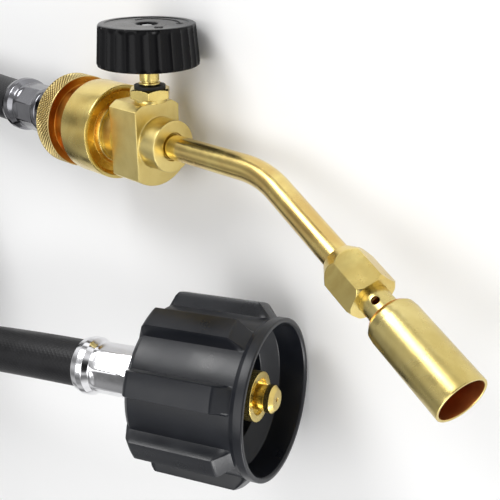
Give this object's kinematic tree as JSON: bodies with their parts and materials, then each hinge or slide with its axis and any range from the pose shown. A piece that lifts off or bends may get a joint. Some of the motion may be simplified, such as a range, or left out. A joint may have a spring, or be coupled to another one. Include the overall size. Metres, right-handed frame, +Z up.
{
  "type": "propane torch",
  "caption": "Brass propane torch head with a control knob, bent feed tube and burner, on a rubber hose with a crimped ferrule at each end and a hand-tightened tank nut.",
  "frame": {"origin": "on the surface that the torch lies on, under the middle of the torch head's box, hose and tank connector left out", "axes": "+X along the valve body towards the burner, +Y along the knob's axis towards the knob, +Z up from the surface that the torch lies on"},
  "size_m": [0.4548, 0.1837, 0.0695],
  "materials": {
    "brass_body": "machined",
    "brass_tube": "brushed",
    "brass_fitting": "machined",
    "burner_brass": "satin",
    "chrome": "bright",
    "steel": "bright",
    "knob_plastic": "gloss",
    "nut_plastic": "satin",
    "bushing_plastic": "satin",
    "hose_rubber": "satin",
    "seal_rubber": "matte",
    "sintered_bronze": "porous"
  },
  "bodies": {
    "torch": {"valve_body": "brass_body", "inlet_coupling": "brass_fitting", "inlet_seal": "seal_rubber", "inlet_filter": "sintered_bronze", "hose_fitting": "brass_fitting", "torch_ferrule": "chrome", "packing_washer": "brass_body", "stem_packing": "seal_rubber", "gland_nut": "brass_body", "dust_washer": "seal_rubber", "feed_tube": "brass_tube", "jet_housing": "brass_fitting", "jet_filter": "sintered_bronze", "jet_orifice": "brass_fitting", "burner_tube": "burner_brass", "flame_holder": "burner_brass", "tank_nipple": "brass_fitting", "retaining_ring": "steel", "tank_ferrule": "chrome", "torch_hose": "hose_rubber", "hose_coil": "hose_rubber", "tank_hose": "hose_rubber"},
    "stem": {"valve_stem": "brass_body"},
    "knob": {"knob": "knob_plastic", "knob_screw": "steel"},
    "tank_nut": {"tank_nut": "nut_plastic", "thermal_bushing": "bushing_plastic"}
  },
  "joints": [
    {"name": "stem_lift", "type": "slide", "parent": "torch", "child": "stem", "axis": [0, 1, 0], "range_m": [0, 0.0015]},
    {"name": "knob_turn", "type": "hinge", "parent": "stem", "child": "knob", "pos_m": [-0.02822, -0.00025, 0.0162], "axis": [0, 1, 0], "range_deg": [0, 540]},
    {"name": "tank_nut_spin", "type": "hinge", "parent": "torch", "child": "tank_nut", "pos_m": [0.01599, -0.06839, 0.03105], "axis": [0.9454, 0.0744, -0.3173], "continuous": true}
  ],
  "couplings": [
    {"joint": "knob_turn", "follows": "stem_lift", "rad_per_m": 6283.2}
  ]
}
